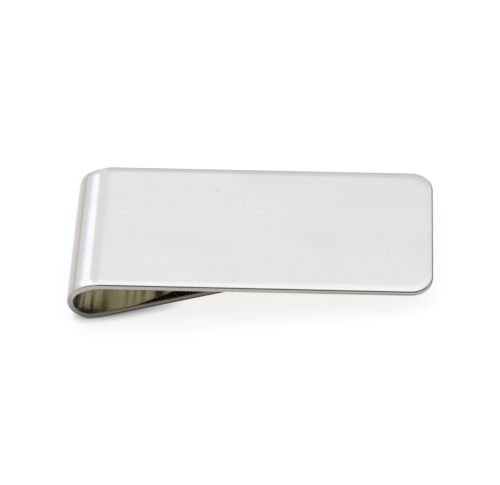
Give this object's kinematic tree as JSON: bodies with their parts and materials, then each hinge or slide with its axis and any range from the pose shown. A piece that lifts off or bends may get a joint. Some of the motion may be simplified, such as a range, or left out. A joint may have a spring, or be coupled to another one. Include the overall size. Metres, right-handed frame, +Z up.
{
  "type": "money clip",
  "caption": "One-piece spring money clip: flat polished plate with rounded free corners, a round bend and a tapered tongue that presses banknotes against the plate.",
  "frame": {"origin": "centre of the bounding box, on the flat surface that the clip stands on, resting on the bottom of the bend and the edge of the lip", "axes": "+X from the bend to the plate's free end, +Y across the strip, +Z up out of the plate's outer face, which leans 4.6 degrees towards +X"},
  "size_m": [0.051, 0.0234, 0.0068],
  "materials": {
    "strip_metal": "polished nickel-coloured spring metal, near-neutral and slightly warm, fine hairlines along the strip"
  },
  "bodies": {
    "back_leg": {"tongue": "strip_metal", "tongue_lip": "strip_metal", "bend_lower": "strip_metal"},
    "crown": {"bend_crown": "strip_metal"},
    "front_leg": {"front_plate": "strip_metal", "bend_upper": "strip_metal"}
  },
  "joints": [
    {"name": "flex_lower", "type": "hinge", "parent": "back_leg", "child": "crown", "pos_m": [-0.02446, 0, 0.00155], "axis": [0, -1, 0], "range_deg": [0, 5], "stiffness_Nm_per_rad": 0.6, "springref_deg": -1.15},
    {"name": "flex_upper", "type": "hinge", "parent": "crown", "child": "front_leg", "pos_m": [-0.0228, 0, 0.0059], "axis": [0, -1, 0], "range_deg": [0, 5], "stiffness_Nm_per_rad": 0.6, "springref_deg": -1.15}
  ],
  "couplings": [
    {"joint": "flex_upper", "follows": "flex_lower", "ratio": 1}
  ]
}
